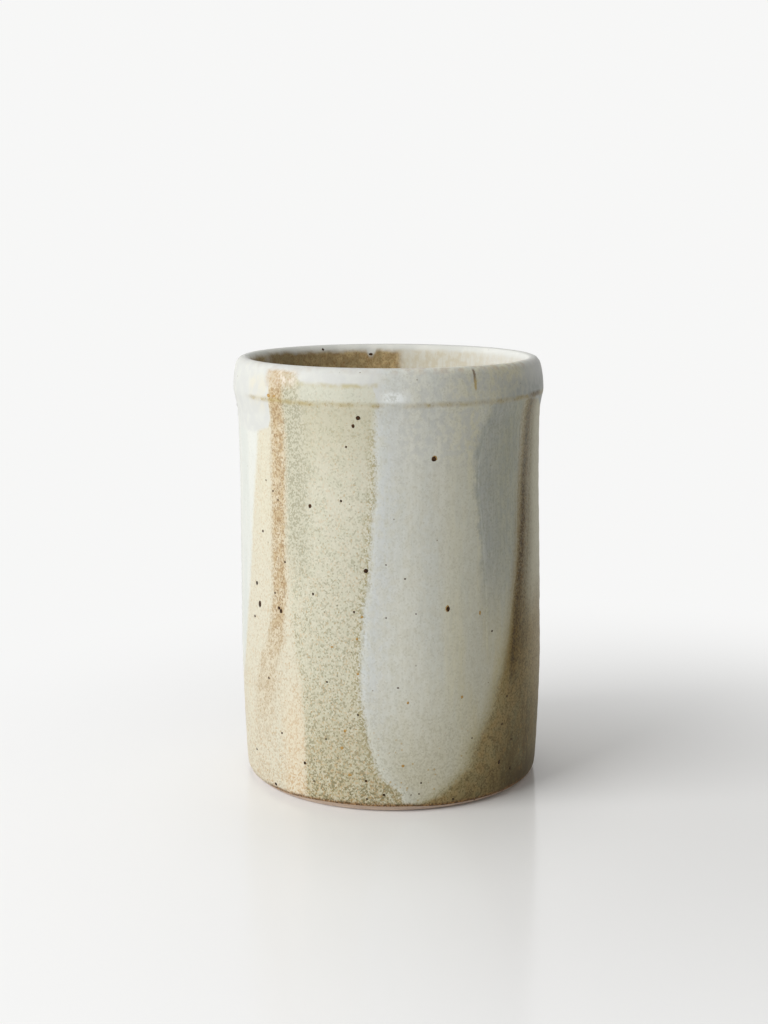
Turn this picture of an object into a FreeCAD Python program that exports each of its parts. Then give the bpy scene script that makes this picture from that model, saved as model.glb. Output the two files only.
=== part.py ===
"""Stoneware utensil crock: one thrown clay pot, and the glaze coats that are fired onto it.

Frame: +Z up, origin on the table under the middle of the foot, millimetres. The photographed side faces -Y.
Every piece is a body of revolution about Z. The poured coats are cut from thin shells of revolution by
tongue-shaped prisms, because a pour runs down the wall and ends in a rounded tongue.
"""

import FreeCAD
import Part
import Sketcher
import math
import os

from FreeCAD import Placement, Rotation, Vector

OUT_DIR = "parts"

# Driving dimensions. Radii are of the bare clay unless a coat is named.
SIZES = {
    # overall form
    "overall_height": 178.0,  # table to the glazed crest of the lip
    "wall_radius": 62.1,  # outside of the clay at the waist
    "wall_thickness": 5.0,
    "floor_thickness": 7.0,
    "floor_corner": 10.0,  # inside radius between wall and floor
    # foot
    "foot_inset": 2.4,  # standing ring inside the waist radius
    "heel_inset": 0.5,  # top of the foot bevel inside the waist radius
    "heel_height": 2.2,  # bare clay bevel, up to the glaze line
    "recess_inset": 15.0,  # rim of the hollow underside, inside the foot
    "recess_depth": 1.5,
    "recess_slope": 3.0,
    # wall and collar
    "belly_rise": 1.3,  # swell of the wall between heel and waist
    "waist_drop": 54.0,  # heights below the crest of the lip
    "neck_drop": 27.0,
    "ridge_drop": 13.4,
    "ridge_overhang": 2.0,  # widest line of the collar outside the waist radius
    "collar_rise": 1.1,  # swell of the collar between ridge and lip
    # lip
    "lip_inset": 0.6,  # outer edge of the lip inside the waist radius
    "lip_width": 2.7,
    "lip_crown": 1.1,  # round top of the lip above its edges
    "throat_drop": 9.0,  # where the lip meets the plain inside wall
    # glaze coats
    "ground_coat": 0.5,
    "liner_coat": 0.5,
    "rim_coat": 0.5,
    "pour_coat": 0.3,
    "overlap_coat": 0.3,
    "coat_clearance": 0.06,  # between a pour and the coat below it
    # front pour: a broad tongue that drifts to the left as it runs down
    "front_pour_top_half": 31.0,  # half width at the neck
    "front_pour_low_half": 22.7,  # half width where the rounded end begins
    "front_pour_drift": -11.5,  # sideways shift of the end
    "front_pour_tip_height": 3.6,
    "front_pour_tip_depth": 22.0,  # depth of the rounded end
    "front_pour_bulge": 8.0,  # swell of the right side
    # narrow second run on the front pour
    "front_overlap_top_half": 9.0,
    "front_overlap_low_half": 6.5,
    "front_overlap_drift": -1.2,
    "front_overlap_tip_height": 66.0,
    "front_overlap_tip_depth": 6.0,
    "front_overlap_bulge": 1.5,
    # pour at the left edge of the front view, narrower as it runs down
    "left_pour_top_half": 30.0,
    "left_pour_low_half": 18.0,
    "left_pour_drift": -8.0,
    "left_pour_tip_height": 40.0,
    "left_pour_tip_depth": 15.0,
    "left_pour_bulge": 2.0,
    # pour at the right edge of the front view
    "right_pour_top_half": 22.0,
    "right_pour_low_half": 15.0,
    "right_pour_drift": 5.0,
    "right_pour_tip_height": 62.0,
    "right_pour_tip_depth": 13.0,
    "right_pour_bulge": 2.0,
    # pour on the back
    "back_pour_top_half": 26.0,
    "back_pour_low_half": 22.0,
    "back_pour_drift": 4.0,
    "back_pour_tip_height": 14.0,
    "back_pour_tip_depth": 19.0,
    "back_pour_bulge": 2.0,
}

# Directions of the pours' middles at the neck, in degrees from the front towards +X.
POUR_AZIMUTHS = {
    "front_pour": 24.0,
    "front_overlap": 43.0,
    "left_pour": -86.0,
    "right_pour": 94.0,
    "back_pour": 180.0,
}


class Size:
    """A length with its number now and the sheet expression that drives it."""

    def __init__(self, number, text):
        self.number = number
        self.text = text

    @staticmethod
    def of(other):
        return other if isinstance(other, Size) else Size(float(other), repr(float(other)))

    def __add__(self, other):
        other = Size.of(other)
        return Size(self.number + other.number, f"({self.text} + {other.text})")

    def __sub__(self, other):
        other = Size.of(other)
        return Size(self.number - other.number, f"({self.text} - {other.text})")

    def __mul__(self, other):
        other = Size.of(other)
        return Size(self.number * other.number, f"({self.text} * {other.text})")

    def __truediv__(self, other):
        other = Size.of(other)
        return Size(self.number / other.number, f"({self.text} / {other.text})")

    def __neg__(self):
        return Size(-self.number, f"(-{self.text})")


doc = FreeCAD.newDocument("utensil_crock")
sheet = doc.addObject("Spreadsheet::Sheet", "dims")
cells = dict(SIZES)
for pour, azimuth in POUR_AZIMUTHS.items():
    cells[f"{pour}_azimuth"] = azimuth
for row, (alias, number) in enumerate(cells.items(), start=1):
    sheet.set(f"A{row}", alias)
    sheet.set(f"B{row}", str(number))
    sheet.setAlias(f"B{row}", alias)
doc.recompute()


def size(alias):
    """The named cell of the sheet."""
    return Size(float(getattr(sheet, alias)), f"dims.{alias}")


ZERO = Size.of(0.0)

# Points of the clay's outline, as (radius, height), from the middle of the underside round to the floor.
crest = size("overall_height") - size("rim_coat")
wall = size("wall_radius")
foot = (wall - size("foot_inset"), ZERO)
heel = (wall - size("heel_inset"), size("heel_height"))
waist = (wall, crest - size("waist_drop"))
neck = (wall, crest - size("neck_drop"))
ridge = (wall + size("ridge_overhang"), crest - size("ridge_drop"))
lip_out = (wall - size("lip_inset"), crest - size("lip_crown"))
lip_in = (lip_out[0] - size("lip_width"), crest - size("lip_crown"))
bore = wall - size("wall_thickness")
throat = (bore, crest - size("throat_drop"))
floor_level = size("floor_thickness")
corner_top = (bore, floor_level + size("floor_corner"))
corner_foot = (bore - size("floor_corner"), floor_level)
recess_rim = (foot[0] - size("recess_inset"), ZERO)
recess_edge = (recess_rim[0] - size("recess_slope"), size("recess_depth"))

QUARTER_ROUND = 1.0 - math.sqrt(0.5)  # rise of a quarter circle over its chord, in radii


def outwards(point, coat):
    """The point moved away from the axis by a coat's thickness."""
    return (point[0] + coat, point[1])


def bulge_radius(start, end, rise):
    """Radius of the arc between two points that rises this far above their chord."""
    across = end[0] - start[0]
    along = end[1] - start[1]
    chord_squared = across * across + along * along
    return (chord_squared / 4.0 + rise * rise) / (rise * 2.0)


def numbers(point):
    return Vector(point[0].number, point[1].number, 0)


def arc_through(start, end, rise, side):
    """The arc from start to end that bulges to the right of the way (side 1) or to its left (side -1)."""
    a, b = numbers(start), numbers(end)
    way = (b - a).normalize()
    right = Vector(way.y, -way.x, 0)
    middle = (a + b) * 0.5 + right * (side * rise.number)
    return Part.Arc(a, middle, b)


def new_sketch(body, name):
    """A sketch on the body's own upright plane, X to the right and Z up."""
    sketch = body.newObject("Sketcher::SketchObject", name)
    plane = [f for f in body.Origin.OriginFeatures if f.Role == "XZ_Plane"][0]
    sketch.AttachmentSupport = (plane, [""])
    sketch.MapMode = "FlatFace"
    return sketch


def pin_down(sketch, geometry, vertex, name, point):
    """Fixes one corner of an outline at a point of the sheet, measured from the origin."""
    origin, upright_axis, level_axis = -1, -2, -1
    for kind, along, axis in (("DistanceX", point[0], upright_axis), ("DistanceY", point[1], level_axis)):
        if abs(along.number) < 1e-9:
            sketch.addConstraint(Sketcher.Constraint("PointOnObject", geometry, vertex, axis))
            continue
        ends = (origin, 1, geometry, vertex)
        if along.number < 0:
            ends = (geometry, vertex, origin, 1)
            along = -along
        index = sketch.addConstraint(Sketcher.Constraint(kind, *ends, along.number))
        sketch.renameConstraint(index, f"{name}_{kind[-1].lower()}")
        sketch.setExpression(f"Constraints.{name}_{kind[-1].lower()}", along.text)


def draw(sketch, steps):
    """Draws a closed outline. Each step is (corner name, point, rise, side) of the stretch that leaves the corner;
    a straight stretch has a rise of None."""
    stretches = []
    for index, (name, point, rise, side) in enumerate(steps):
        following = steps[(index + 1) % len(steps)][1]
        if rise is None:
            shape = Part.LineSegment(numbers(point), numbers(following))
        else:
            shape = arc_through(point, following, rise, side)
        geometry = sketch.addGeometry(shape, False)
        first = sketch.getPoint(geometry, 1)
        begin = 1 if (first - numbers(point)).Length < (first - numbers(following)).Length else 2
        stretches.append((geometry, begin, 3 - begin))
    for index, (name, point, rise, side) in enumerate(steps):
        geometry, begin, end = stretches[index]
        before, _, before_end = stretches[index - 1]
        sketch.addConstraint(Sketcher.Constraint("Coincident", before, before_end, geometry, begin))
        pin_down(sketch, geometry, begin, name, point)
        if rise is not None:
            following = steps[(index + 1) % len(steps)][1]
            radius = bulge_radius(point, following, rise)
            number = sketch.addConstraint(Sketcher.Constraint("Radius", geometry, radius.number))
            sketch.renameConstraint(number, f"{name}_round")
            sketch.setExpression(f"Constraints.{name}_round", radius.text)


def turned(label, steps):
    """A body of revolution about Z from its half outline."""
    body = doc.addObject("PartDesign::Body", label)
    sketch = new_sketch(body, f"{label}_outline")
    draw(sketch, steps)
    turn = body.newObject("PartDesign::Revolution", f"{label}_turn")
    turn.Profile = sketch
    turn.ReferenceAxis = (sketch, ["V_Axis"])
    turn.Angle = 360.0
    body.Tip = turn
    body.Label = label
    return body


def straight(name, point):
    return (name, point, None, 0)


BULGE_RIGHT, BULGE_LEFT = 1, -1


def clay_body():
    """The thrown pot: hollow underside, bevelled foot, wall, collar, lip, inside wall and floor."""
    corner_rise = size("floor_corner") * QUARTER_ROUND
    return turned(
        "clay_body",
        [
            straight("recess_middle", (ZERO, size("recess_depth"))),
            straight("recess_edge", recess_edge),
            straight("recess_rim", recess_rim),
            straight("foot", foot),
            ("heel", heel, size("belly_rise"), BULGE_RIGHT),
            straight("waist", waist),
            straight("neck", neck),
            ("ridge", ridge, size("collar_rise"), BULGE_RIGHT),
            ("lip_out", lip_out, size("lip_crown"), BULGE_RIGHT),
            straight("lip_in", lip_in),
            straight("throat", throat),
            ("corner_top", corner_top, corner_rise, BULGE_LEFT),
            straight("corner_foot", corner_foot),
            straight("floor_middle", (ZERO, floor_level)),
        ],
    )


def wall_shell(label, inner, outer):
    """A thin shell on the outside wall from the glaze line to the neck, between two depths of coat."""
    return turned(
        label,
        [
            straight("heel_in", outwards(heel, inner)),
            ("heel_out", outwards(heel, outer), size("belly_rise"), BULGE_RIGHT),
            straight("waist_out", outwards(waist, outer)),
            straight("neck_out", outwards(neck, outer)),
            straight("neck_in", outwards(neck, inner)),
            ("waist_in", outwards(waist, inner), size("belly_rise"), BULGE_LEFT),
        ],
    )


def rim_glaze():
    """The dipped coat over the collar and lip, and down inside to the throat."""
    coat = size("rim_coat")
    raised_crown = size("lip_crown") + coat
    return turned(
        "rim_glaze",
        [
            straight("neck_out", outwards(neck, coat)),
            ("ridge_out", outwards(ridge, coat), size("collar_rise"), BULGE_RIGHT),
            ("lip_out", outwards(lip_out, coat), raised_crown, BULGE_RIGHT),
            straight("lip_in", outwards(lip_in, -coat)),
            straight("throat_in", outwards(throat, -coat)),
            straight("throat_clay", throat),
            ("lip_in_clay", lip_in, size("lip_crown"), BULGE_LEFT),
            ("lip_out_clay", lip_out, size("collar_rise"), BULGE_LEFT),
            straight("ridge_clay", ridge),
            straight("neck_clay", neck),
        ],
    )


def liner_glaze():
    """The coat that is swilled round inside: wall below the throat, corner and floor."""
    coat = size("liner_coat")
    corner_rise = size("floor_corner") * QUARTER_ROUND
    inner_rise = (size("floor_corner") - coat) * QUARTER_ROUND
    return turned(
        "liner_glaze",
        [
            straight("floor_clay", (ZERO, floor_level)),
            ("corner_foot_clay", corner_foot, corner_rise, BULGE_RIGHT),
            straight("corner_top_clay", corner_top),
            straight("throat_clay", throat),
            straight("throat_in", outwards(throat, -coat)),
            ("corner_top_in", outwards(corner_top, -coat), inner_rise, BULGE_LEFT),
            straight("corner_foot_in", (corner_foot[0], floor_level + coat)),
            straight("floor_in", (ZERO, floor_level + coat)),
        ],
    )


def tongue_prism(pour):
    """An upright prism with the outline of one poured tongue, out from the axis at the tongue's azimuth."""
    top_half = size(f"{pour}_top_half")
    low_half = size(f"{pour}_low_half")
    drift = size(f"{pour}_drift")
    tip_depth = size(f"{pour}_tip_depth")
    shoulder = size(f"{pour}_tip_height") + tip_depth
    holder = doc.addObject("PartDesign::Body", f"{pour}_prism")
    sketch = new_sketch(holder, f"{pour}_outline")
    draw(
        sketch,
        [
            ("left_shoulder", (drift - low_half, shoulder), tip_depth, BULGE_RIGHT),
            ("right_shoulder", (drift + low_half, shoulder), size(f"{pour}_bulge"), BULGE_RIGHT),
            straight("right_top", (top_half, neck[1])),
            straight("left_top", (-top_half, neck[1])),
        ],
    )
    pad = holder.newObject("PartDesign::Pad", f"{pour}_pad")
    pad.Profile = sketch
    pad.setExpression("Length", (wall * 2.0).text)
    holder.Tip = pad
    holder.Placement = Placement(Vector(0, 0, 0), Rotation(Vector(0, 0, 1), size(f"{pour}_azimuth").number))
    holder.setExpression("Placement.Rotation.Angle", f"dims.{pour}_azimuth")
    return holder


def poured_glaze(pour, shell):
    """The stretch of a thin shell that lies inside one tongue."""
    tongue = doc.addObject("Part::Common", f"{pour}_glaze")
    tongue.Base = shell
    tongue.Tool = tongue_prism(pour)
    tongue.Label = f"{pour}_glaze"
    return tongue


ground = size("ground_coat")
pour_bed = ground + size("coat_clearance")
poured = pour_bed + size("pour_coat")
overlap_bed = poured + size("coat_clearance")
overlapped = overlap_bed + size("overlap_coat")

pieces = [clay_body(), liner_glaze(), rim_glaze(), wall_shell("ground_glaze", ZERO, ground)]
for pour in POUR_AZIMUTHS:
    over_another = pour == "front_overlap"
    inner, outer = (overlap_bed, overlapped) if over_another else (pour_bed, poured)
    pieces.append(poured_glaze(pour, wall_shell(f"{pour}_shell", inner, outer)))

doc.recompute()

for thing in doc.Objects:
    if "Invalid" in thing.State or "Error" in thing.State:
        raise RuntimeError(f"{thing.Label} failed to build: {thing.State}")
for piece in pieces:
    if piece.Shape.isNull() or not piece.Shape.isValid() or not piece.Shape.Solids:
        raise RuntimeError(f"{piece.Label} has no sound solid")

os.makedirs(OUT_DIR, exist_ok=True)
for piece in pieces:
    piece.Shape.exportStep(os.path.join(OUT_DIR, f"{piece.Label}.step"))
    box = piece.Shape.optimalBoundingBox()
    print(
        f"{piece.Label}: {len(piece.Shape.Solids)} solid, {piece.Shape.Volume:.0f} mm3,"
        f" z {box.ZMin:.2f} to {box.ZMax:.2f}, widest {box.XLength:.2f}"
    )
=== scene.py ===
# %% [markdown]
# # A stoneware utensil crock
# The crock is thrown on a wheel in one piece of clay, glazed in several coats and fired once more. Nothing
# on it moves, so all pieces ride on the one body. The CAD solids give the sizes: they are loaded first and
# stay where they are. Their box is kept, to print it beside the dressed crock's box at the end.

import math
import random

import bmesh
import bpy
from mathutils import Matrix, Vector
from mathutils.bvhtree import BVHTree


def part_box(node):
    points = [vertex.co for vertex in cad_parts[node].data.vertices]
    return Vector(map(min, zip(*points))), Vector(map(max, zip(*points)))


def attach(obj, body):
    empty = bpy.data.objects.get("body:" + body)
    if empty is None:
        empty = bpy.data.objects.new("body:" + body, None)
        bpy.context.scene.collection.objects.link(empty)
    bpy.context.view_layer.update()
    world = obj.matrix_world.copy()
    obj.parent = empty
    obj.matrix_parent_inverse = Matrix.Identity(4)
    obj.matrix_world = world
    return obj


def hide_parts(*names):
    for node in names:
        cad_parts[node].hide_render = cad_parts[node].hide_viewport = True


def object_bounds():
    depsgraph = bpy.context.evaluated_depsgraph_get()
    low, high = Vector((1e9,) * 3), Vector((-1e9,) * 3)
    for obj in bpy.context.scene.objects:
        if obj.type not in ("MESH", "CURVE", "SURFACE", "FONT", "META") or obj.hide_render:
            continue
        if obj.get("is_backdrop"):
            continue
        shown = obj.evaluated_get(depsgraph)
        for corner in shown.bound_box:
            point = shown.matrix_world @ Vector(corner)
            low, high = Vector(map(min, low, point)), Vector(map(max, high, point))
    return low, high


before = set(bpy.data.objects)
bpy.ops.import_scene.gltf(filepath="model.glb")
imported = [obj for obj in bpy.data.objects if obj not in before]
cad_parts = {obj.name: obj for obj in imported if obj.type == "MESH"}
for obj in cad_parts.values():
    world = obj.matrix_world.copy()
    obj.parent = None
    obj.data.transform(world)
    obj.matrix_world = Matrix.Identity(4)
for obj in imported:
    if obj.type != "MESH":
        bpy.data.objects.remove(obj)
cad_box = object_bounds()
scene = bpy.context.scene
scene.view_settings.view_transform = "Standard"
MM = 0.001
CROCK_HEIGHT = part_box("rim_glaze")[1][2] / MM
print("solids:", ", ".join(sorted(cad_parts)), "- height", round(CROCK_HEIGHT, 1), "mm")

# %% [markdown]
# ## The camera
# A camera can be placed by eye, or worked out from the photograph. Here the ellipses of lip and foot were
# measured: how far they open says how high the lens stands above each, and the ratio of their widths says
# how far away it is. The crock is seen from a little above, so the lens looks down by about ten degrees. On
# an upright picture Blender's 36 mm sensor lies along the long side.

# %% Place the camera
PHOTO_WIDE, PHOTO_TALL = 768, 1024
SENSOR = 36.0
FOCAL_PIXELS = 1550.0
LENS_PLACE = Vector((-3.2, -649.0, 227.6)) * MM
LENS_DIP = math.radians(10.2)

camera_data = bpy.data.cameras.new("camera")
camera_data.sensor_width = SENSOR
camera_data.lens = SENSOR * FOCAL_PIXELS / PHOTO_TALL
camera = bpy.data.objects.new("camera", camera_data)
camera.location = LENS_PLACE
camera.rotation_euler = (math.pi / 2 - LENS_DIP, 0, 0)
scene.collection.objects.link(camera)
scene.camera = camera
print("lens", round(camera_data.lens, 1), "mm")

# %% [markdown]
# ## Shader arithmetic
# Sky, floor and glazes are all made of shader nodes. Linked one by one they are hard to read, so a small
# class wraps a socket and turns Python's operators into Math nodes. One method makes any other node.
# Colours are laid over each other with masks, as layers are in a painting program.

# %% The wire class


class Wire:
    """A socket of a node tree. Operators on it add Math nodes."""

    def __init__(self, tree, socket=None):
        self.tree = tree
        self.socket = socket

    def node(self, kind, settings=(), sockets=(), out=0):
        """Adds a node: first its settings, then the values or links of its sockets."""
        made = self.tree.nodes.new(kind)
        for key, value in dict(settings).items():
            if key == "points":
                curve = made.mapping.curves[0]
                while len(curve.points) < len(value):
                    curve.points.new(0.5, 0.5)
                for point, (a, b) in zip(curve.points, value):
                    point.location = (a, b)
                    point.handle_type = "AUTO_CLAMPED"
                made.mapping.update()
            else:
                setattr(made, key, value)
        for key, value in dict(sockets).items():
            if isinstance(value, Wire):
                value.into(made.inputs[key])
            else:
                made.inputs[key].default_value = value
        return Wire(self.tree, made.outputs[out])

    def other(self, out):
        """Another output of the same node."""
        return Wire(self.tree, self.socket.node.outputs[out])

    def into(self, socket):
        self.tree.links.new(self.socket, socket)

    def math(self, operation, *terms):
        return self.node("ShaderNodeMath", {"operation": operation}, enumerate(terms))

    def __add__(self, other):
        return self.math("ADD", self, other)

    def __sub__(self, other):
        return self.math("SUBTRACT", self, other)

    def __rsub__(self, other):
        return self.math("SUBTRACT", other, self)

    def __mul__(self, other):
        return self.math("MULTIPLY", self, other)

    def __truediv__(self, other):
        return self.math("DIVIDE", self, other)

    __radd__ = __add__
    __rmul__ = __mul__

    def size(self):
        """The number without its sign."""
        return self.math("ABSOLUTE", self)

    def step(self, low, high):
        """0 below low, 1 above high, smooth between; falls instead of rising where high is the lower."""
        limits = {"Value": self, "From Min": low, "From Max": high}
        return self.node("ShaderNodeMapRange", {"interpolation_type": "SMOOTHSTEP"}, limits)

    def band(self, start, full, until, end):
        """Rises from 0 at start to 1 at full, and falls from 1 at until to 0 at end."""
        return self.step(start, full) * self.step(end, until)

    def below(self, share):
        """For a random number: 1 on about that share of the grains, weaker on some."""
        return (share - self).step(-0.2, 0.2)

    def paint(self, under, over):
        """A colour that goes from under to over as this mask goes from 0 to 1."""
        return self.node("ShaderNodeMix", {"data_type": "RGBA"}, {0: self, 6: under, 7: over}, out=2)


# %% Colours and materials


def srgb(red, green, blue):
    """A colour as a picture editor shows it, 0 to 255, for a shader socket."""
    return tuple(((c / 255 + 0.055) / 1.055) ** 2.4 for c in (red, green, blue)) + (1.0,)


def layered(colour, *layers):
    """The colour with layers laid over it in turn. A layer is a mask and the colour that it brings."""
    for mask, over in layers:
        colour = mask.paint(colour, over)
    return colour


def new_material(name):
    """A material, the start of its wires, and its shader node."""
    material = bpy.data.materials.new(name)
    material.use_nodes = True
    tree = material.node_tree
    return material, Wire(tree), tree.nodes["Principled BSDF"]


print("middle grey is", round(srgb(128, 128, 128)[0], 3), "to a shader")

# %% [markdown]
# ## Sky and lamps
# The light comes from a large window on the left, so the crock is bright there and falls off softly to the
# right. One large area lamp gives that, with a weak even sky as the fill. A second, small lamp hangs
# overhead, a little behind the crock: it brightens the table and leaves a dark contact shadow in front of
# the foot. The sky that is looked at, straight or in a reflection, is a separate, paler one: Light Path
# tells a look from a ray that gathers light.

# %% Build sky and lamps
SKY_LIGHT = 0.3
SKY_TINT = (1.0, 0.985, 0.96, 1.0)
SKY_SEEN = (0.93, 0.93, 0.925, 1.0)


def looked_at(start):
    """1 for a look from the camera, also by way of a reflection or through glass."""
    looks = start.node("ShaderNodeLightPath", out="Is Camera Ray")
    mirrored = start.math("MAXIMUM", looks.other("Is Glossy Ray"), looks.other("Is Transmission Ray"))
    return start.math("MAXIMUM", looks, mirrored)


world = bpy.data.worlds.new("studio")
world.use_nodes = True
scene.world = world
start = Wire(world.node_tree)
fill = start.node("ShaderNodeBackground", sockets={"Color": SKY_TINT, "Strength": SKY_LIGHT})
seen = start.node("ShaderNodeBackground", sockets={"Color": SKY_SEEN})
sky = start.node("ShaderNodeMixShader", sockets={0: looked_at(start), 1: fill, 2: seen})
sky.into(world.node_tree.nodes["World Output"].inputs["Surface"])


def soft_lamp(name, azimuth, height, distance, size, power):
    """A square lamp aimed at the middle of the crock. Azimuth and height are in degrees, 0 at the front."""
    data = bpy.data.lights.new(name, "AREA")
    data.size = size
    data.energy = power
    lamp = bpy.data.objects.new(name, data)
    aim = Vector((0, 0, CROCK_HEIGHT * MM / 2))
    across, up = math.radians(azimuth), math.radians(height)
    way = Vector((math.cos(up) * math.sin(across), -math.cos(up) * math.cos(across), math.sin(up)))
    lamp.location = aim + way * distance
    lamp.rotation_euler = way.to_track_quat("Z", "Y").to_euler()
    scene.collection.objects.link(lamp)
    print(name, "lamp of", power, "W")


soft_lamp("window", azimuth=-58.0, height=30.0, distance=1.2, size=0.8, power=13.6)
soft_lamp("overhead", azimuth=180.0, height=79.0, distance=1.0, size=0.3, power=1.3)

# %% [markdown]
# ## Floor
# The crock stands on a pale, slightly glossy top. Away from the crock its colour fades into the sky that is
# looked at, so that no horizon shows. The fade starts from the middle of the shadow, on the right, and
# leaves the shadow as dark as it is.

# %% Build the floor
FLOOR_HALF = 3.0
FLOOR_COLOUR = (0.88, 0.88, 0.875, 1.0)
SHADOW_MIDDLE = (0.07, -0.06, 0.0)
FLOOR_FADE = (0.03, 0.37)  # metres from the middle of the shadow, between which the floor turns to sky

floor_mesh = bpy.data.meshes.new("floor")
plane = bmesh.new()
bmesh.ops.create_grid(plane, x_segments=1, y_segments=1, size=FLOOR_HALF)
plane.to_mesh(floor_mesh)
plane.free()
floor = bpy.data.objects.new("floor", floor_mesh)
scene.collection.objects.link(floor)
floor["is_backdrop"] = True

floor_material, start, shader = new_material("pale_floor")
shader.inputs["Base Color"].default_value = FLOOR_COLOUR
shader.inputs["Roughness"].default_value = 0.14
shader.inputs["Specular IOR Level"].default_value = 0.4
spot = start.node("ShaderNodeTexCoord", out="Object")
from_shadow = {0: spot, 1: SHADOW_MIDDLE}
away = start.node("ShaderNodeVectorMath", {"operation": "DISTANCE"}, from_shadow, out="Value")
fade = looked_at(start) * away.step(*FLOOR_FADE)
stone = Wire(start.tree, shader.outputs[0])
sky_glow = start.node("ShaderNodeEmission", sockets={"Color": SKY_SEEN})
faded = start.node("ShaderNodeMixShader", sockets={0: fade, 1: stone, 2: sky_glow})
faded.into(start.tree.nodes["Material Output"].inputs["Surface"])
floor_mesh.materials.append(floor_material)
print("floor of", 2 * FLOOR_HALF, "m")

# %% [markdown]
# ## From an outline to a turned pot
# A thrown pot is a solid of revolution, so it starts as half of its outline and is spun about the upright
# axis. A Screw modifier would do, but bmesh's spin leaves an ordinary mesh that can be pushed about
# afterwards. The outlines are short lists of points, in millimetres from the axis and above the table; a
# Catmull-Rom curve runs smoothly through them.

# %% Outline helpers
FULL_TURN = 2 * math.pi
TURN_STEPS = 288
MERGE_DISTANCE = 0.005
SHARP_EDGE = math.radians(50)


def smooth_run(points, step):
    """Points about step apart on a smooth curve through the given ones."""
    run = []
    for i in range(len(points) - 1):
        before = points[max(i - 1, 0)]
        here, there = points[i], points[i + 1]
        after = points[min(i + 2, len(points) - 1)]
        count = max(1, round(math.dist(here, there) / step))
        for k in range(count):
            w = k / count
            spot = []
            for p, q, r, s in zip(before, here, there, after):
                bend = (r - p) * w + (2 * p - 5 * q + 4 * r - s) * w**2 + (3 * q - p - 3 * r + s) * w**3
                spot.append(q + bend / 2)
            run.append(tuple(spot))
    return run + [points[-1]]


def spun(outline, closed, angle=FULL_TURN, steps=TURN_STEPS):
    """A mesh spun from an outline of (radius, height) in mm. A closed outline is a ring's section."""
    shape = bmesh.new()
    corners = [shape.verts.new((r * MM, 0, z * MM)) for r, z in outline]
    pairs = list(zip(corners, corners[1:])) + [(corners[-1], corners[0])] * closed
    edges = [shape.edges.new(pair) for pair in pairs]
    bmesh.ops.spin(
        shape,
        geom=corners + edges,
        cent=(0, 0, 0),
        axis=(0, 0, 1),
        angle=angle,
        steps=steps,
        use_merge=angle == FULL_TURN,
    )
    bmesh.ops.remove_doubles(shape, verts=shape.verts, dist=MERGE_DISTANCE * MM)
    bmesh.ops.recalc_face_normals(shape, faces=shape.faces)
    return shape


def finished(name, shape, slot, *nodes):
    """Makes the shape an object that rides on the crock and stands for CAD nodes; its slot is not used."""
    for face in shape.faces:
        face.smooth = True
    for edge in shape.edges:
        edge.smooth = edge.calc_face_angle(0.0) < SHARP_EDGE
    mesh = bpy.data.meshes.new(name)
    shape.to_mesh(mesh)
    shape.free()
    piece = bpy.data.objects.new(name, mesh)
    scene.collection.objects.link(piece)
    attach(piece, "root")
    if nodes:
        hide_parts(*nodes)
    print(name, len(mesh.polygons), "faces")
    return piece


# %% [markdown]
# ## The outlines
# The glazed outside was read off both silhouettes of the photograph: a bevelled foot, a belly low down, a
# slight waist, and a collar with a ridge below a broad round lip. The wall is about as thick as the lip
# shows, with a rounded corner down at the floor. The clay lies half a millimetre below the glaze. The dip
# of the rim reaches from the neck outside to the throat inside.

# %% Outlines of the glazed surface and of the clay
COAT = 0.5
GLAZE_LINE = 1.8
NECK, THROAT = 150, 169
OUTSIDE = [
    (61.45, GLAZE_LINE), (62.0, 2.9), (62.4, 5.2), (62.9, 15), (63.5, 32), (63.85, 53), (63.5, 77),
    (63.1, 105), (62.75, 126), (62.85, NECK), (63.0, 153.5), (63.4, 158), (64.2, 162.2), (64.7, 164.8),
    (64.45, 169.5), (63.85, 173.5), (63.05, 176.1), (62.0, 177.4), (60.7, 177.95), (59.4, 178),
    (58.3, 177.4), (57.5, 176), (57.1, 173.5), (56.8, THROAT),
]
INSIDE = [(56.8, THROAT), (56.6, 160), (56.5, 100), (56.6, 30), (56.2, 18)]
CORNER = [(56.2, 18), (54.9, 13), (51.6, 9.2), (47, 7.6), (40, 7.4)]
FLOOR_IN = [(40, 7.4), (20, 7.7), (0, 7.9)]
FOOT = [(0, 1.7), (38, 1.6), (42, 1.2), (44.5, 0.0), (58.6, 0.0), (59.7, 0.25), (60.6, 1.0)]

# Millimetres between points: close on a face that is seen, wide on the back of a coat.
OUTSIDE_STEP, CLAY_STEP, OUTSIDE_BACK_STEP = 1.3, 4.0, 8.0
INSIDE_STEPS, INSIDE_BACK_STEPS = (2.2, 1.2, 3.0), (8.0, 2.5, 10.0)


def inside_run(wall_step, corner_step, floor_step):
    """The inside from the throat down to the middle of the floor."""
    corner = smooth_run(CORNER, corner_step)[1:]
    return smooth_run(INSIDE, wall_step) + corner + smooth_run(FLOOR_IN, floor_step)[1:]


def inset(run, depth):
    """The run moved to the left of its way by a depth: into the clay, for a run up the outside."""
    moved = []
    for i, (r, z) in enumerate(run):
        (ra, za), (rb, zb) = run[max(i - 1, 0)], run[min(i + 1, len(run) - 1)]
        along = math.hypot(rb - ra, zb - za)
        moved.append((r - (zb - za) / along * depth, z + (rb - ra) / along * depth))
    return moved


outside = smooth_run(OUTSIDE, OUTSIDE_STEP)
outside_back = smooth_run(OUTSIDE, OUTSIDE_BACK_STEP)
inside = inside_run(*INSIDE_STEPS)
inside_back = inside_run(*INSIDE_BACK_STEPS)
print("outside", len(outside), "points, inside", len(inside))

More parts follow.
